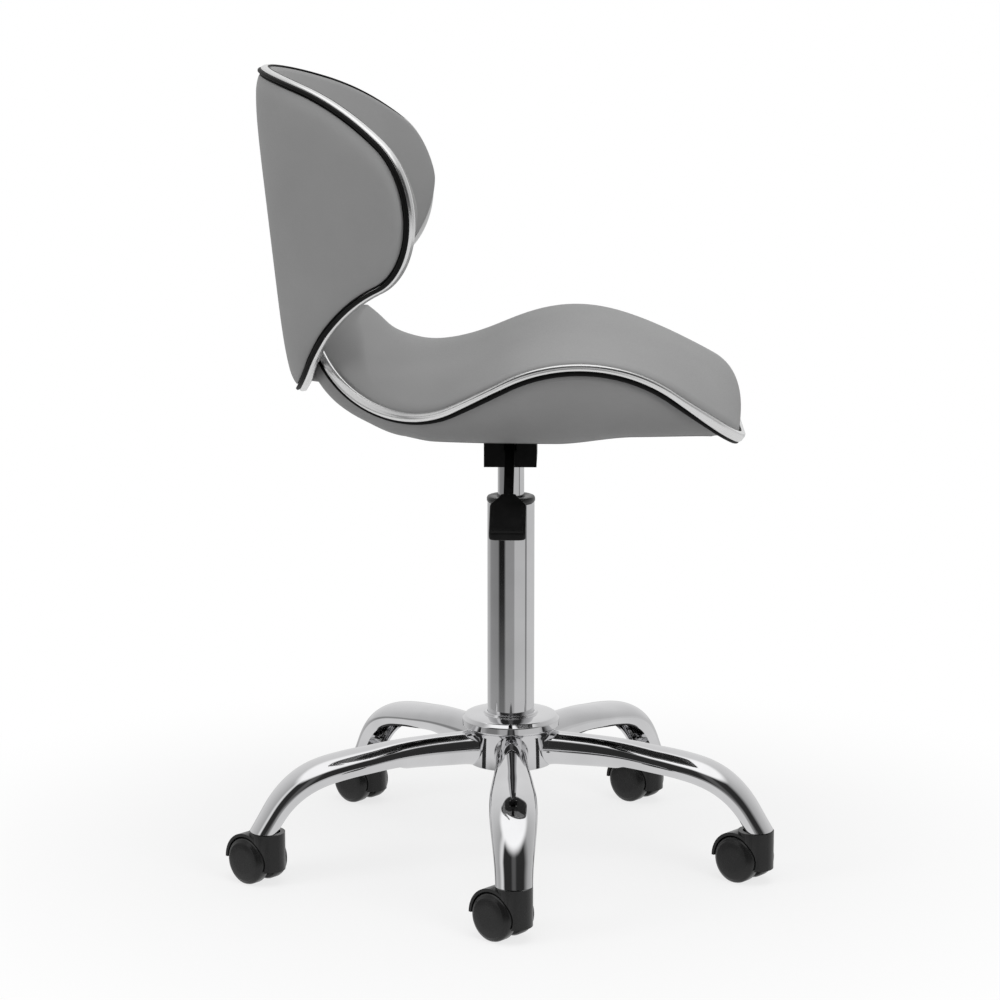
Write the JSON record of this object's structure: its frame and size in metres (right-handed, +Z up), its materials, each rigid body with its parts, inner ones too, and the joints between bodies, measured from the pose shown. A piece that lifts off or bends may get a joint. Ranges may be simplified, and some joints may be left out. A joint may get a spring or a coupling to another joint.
{
  "type": "work stool",
  "caption": "Height-adjustable work stool with a padded saddle seat, wrap-around back, side lever, gas column and a star base on twin-wheel casters.",
  "frame": {"origin": "point on the floor under the column's axis", "axes": "+Z up along the column, +X to the seat's front, -Y to the lever's side"},
  "size_m": [0.5804, 0.5588, 0.8517],
  "materials": {
    "chrome": "polished plate",
    "cylinder_chrome": "satin plate",
    "grey_vinyl": "matt coated cloth over foam",
    "black_piping": "satin",
    "caster_plastic": "gloss moulded",
    "black_plastic": "fine grained",
    "black_steel": "powder coat",
    "steel": "zinc plated",
    "buffer_rubber": "matt",
    "plywood": "raw plywood"
  },
  "bodies": {
    "base": {"base_hub": "chrome", "base_arm_1": "chrome", "base_arm_2": "chrome", "base_arm_3": "chrome", "base_arm_4": "chrome", "base_arm_5": "chrome", "caster_stems": "steel", "caster_nuts": "steel", "column_tube": "chrome", "guide_bush": "black_plastic", "bearing_lower_race": "steel", "bearing_balls": "steel"},
    "piston": {"piston_rod": "steel", "bearing_upper_race": "steel", "retaining_clip": "steel", "rubber_buffer": "buffer_rubber"},
    "seat": {"back_board": "plywood", "back_bracket": "black_steel", "back_cushion": "grey_vinyl", "back_piping": "black_piping", "back_shell": "grey_vinyl", "back_trim": "chrome", "bracket_screws": "steel", "gas_cylinder": "cylinder_chrome", "lever_pin": "steel", "mechanism_box": "black_steel", "plate_screws": "steel", "seat_base_panel": "plywood", "seat_board": "plywood", "seat_cushion": "grey_vinyl", "seat_formers": "plywood", "seat_piping": "black_piping", "seat_plate": "black_steel", "seat_shell": "grey_vinyl", "seat_trim": "chrome", "taper_socket": "black_steel", "tee_nuts": "steel"},
    "lever": {"lever_bar": "black_steel", "lever_handle": "black_plastic"},
    "valve": {"valve_pin": "steel"},
    "caster_1": {"caster_housing_1": "caster_plastic", "caster_axle_1": "steel"},
    "wheel_near_1": {"caster_wheel_near_1": "caster_plastic"},
    "wheel_far_1": {"caster_wheel_far_1": "caster_plastic"},
    "caster_2": {"caster_housing_2": "caster_plastic", "caster_axle_2": "steel"},
    "wheel_near_2": {"caster_wheel_near_2": "caster_plastic"},
    "wheel_far_2": {"caster_wheel_far_2": "caster_plastic"},
    "caster_3": {"caster_housing_3": "caster_plastic", "caster_axle_3": "steel"},
    "wheel_near_3": {"caster_wheel_near_3": "caster_plastic"},
    "wheel_far_3": {"caster_wheel_far_3": "caster_plastic"},
    "caster_4": {"caster_housing_4": "caster_plastic", "caster_axle_4": "steel"},
    "wheel_near_4": {"caster_wheel_near_4": "caster_plastic"},
    "wheel_far_4": {"caster_wheel_far_4": "caster_plastic"},
    "caster_5": {"caster_housing_5": "caster_plastic", "caster_axle_5": "steel"},
    "wheel_near_5": {"caster_wheel_near_5": "caster_plastic"},
    "wheel_far_5": {"caster_wheel_far_5": "caster_plastic"}
  },
  "joints": [
    {"name": "seat_swivel", "type": "hinge", "parent": "base", "child": "piston", "pos_m": [0, 0, 0.112], "axis": [0, 0, 1], "continuous": true},
    {"name": "seat_lift", "type": "slide", "parent": "piston", "child": "seat", "axis": [0, 0, 1], "range_m": [0, 0.14]},
    {"name": "lever_tip", "type": "hinge", "parent": "seat", "child": "lever", "pos_m": [0, -0.022, 0.4627], "axis": [-1, 0, 0], "range_deg": [0, 7], "stiffness_Nm_per_rad": 2},
    {"name": "valve_press", "type": "slide", "parent": "seat", "child": "valve", "axis": [0, 0, -1], "range_m": [0, 0.0028]},
    {"name": "caster_swivel_1", "type": "hinge", "parent": "base", "child": "caster_1", "pos_m": [0.0085, -0.27057, 0.04], "axis": [0, 0, 1], "continuous": true},
    {"name": "wheel_near_spin_1", "type": "hinge", "parent": "caster_1", "child": "wheel_near_1", "pos_m": [-0.00249, -0.26111, 0.025], "axis": [-0.6521, -0.7581, 0], "continuous": true},
    {"name": "wheel_far_spin_1", "type": "hinge", "parent": "caster_1", "child": "wheel_far_1", "pos_m": [-0.00249, -0.26111, 0.025], "axis": [-0.6521, -0.7581, 0], "continuous": true},
    {"name": "caster_swivel_2", "type": "hinge", "parent": "base", "child": "caster_2", "pos_m": [0.25995, -0.07552, 0.04], "axis": [0, 0, 1], "continuous": true},
    {"name": "wheel_near_spin_2", "type": "hinge", "parent": "caster_2", "child": "wheel_near_2", "pos_m": [0.24896, -0.06607, 0.025], "axis": [-0.6521, -0.7581, 0], "continuous": true},
    {"name": "wheel_far_spin_2", "type": "hinge", "parent": "caster_2", "child": "wheel_far_2", "pos_m": [0.24896, -0.06607, 0.025], "axis": [-0.6521, -0.7581, 0], "continuous": true},
    {"name": "caster_swivel_3", "type": "hinge", "parent": "base", "child": "caster_3", "pos_m": [0.15216, 0.22389, 0.04], "axis": [0, 0, 1], "continuous": true},
    {"name": "wheel_near_spin_3", "type": "hinge", "parent": "caster_3", "child": "wheel_near_3", "pos_m": [0.14116, 0.23335, 0.025], "axis": [-0.6521, -0.7581, 0], "continuous": true},
    {"name": "wheel_far_spin_3", "type": "hinge", "parent": "caster_3", "child": "wheel_far_3", "pos_m": [0.14116, 0.23335, 0.025], "axis": [-0.6521, -0.7581, 0], "continuous": true},
    {"name": "caster_swivel_4", "type": "hinge", "parent": "base", "child": "caster_4", "pos_m": [-0.16591, 0.2139, 0.04], "axis": [0, 0, 1], "continuous": true},
    {"name": "wheel_near_spin_4", "type": "hinge", "parent": "caster_4", "child": "wheel_near_4", "pos_m": [-0.17691, 0.22335, 0.025], "axis": [-0.6521, -0.7581, 0], "continuous": true},
    {"name": "wheel_far_spin_4", "type": "hinge", "parent": "caster_4", "child": "wheel_far_4", "pos_m": [-0.17691, 0.22335, 0.025], "axis": [-0.6521, -0.7581, 0], "continuous": true},
    {"name": "caster_swivel_5", "type": "hinge", "parent": "base", "child": "caster_5", "pos_m": [-0.2547, -0.0917, 0.04], "axis": [0, 0, 1], "continuous": true},
    {"name": "wheel_near_spin_5", "type": "hinge", "parent": "caster_5", "child": "wheel_near_5", "pos_m": [-0.26569, -0.08224, 0.025], "axis": [-0.6521, -0.7581, 0], "continuous": true},
    {"name": "wheel_far_spin_5", "type": "hinge", "parent": "caster_5", "child": "wheel_far_5", "pos_m": [-0.26569, -0.08224, 0.025], "axis": [-0.6521, -0.7581, 0], "continuous": true}
  ],
  "couplings": [
    {"joint": "valve_press", "follows": "lever_tip", "m_per_rad": 0.022}
  ]
}
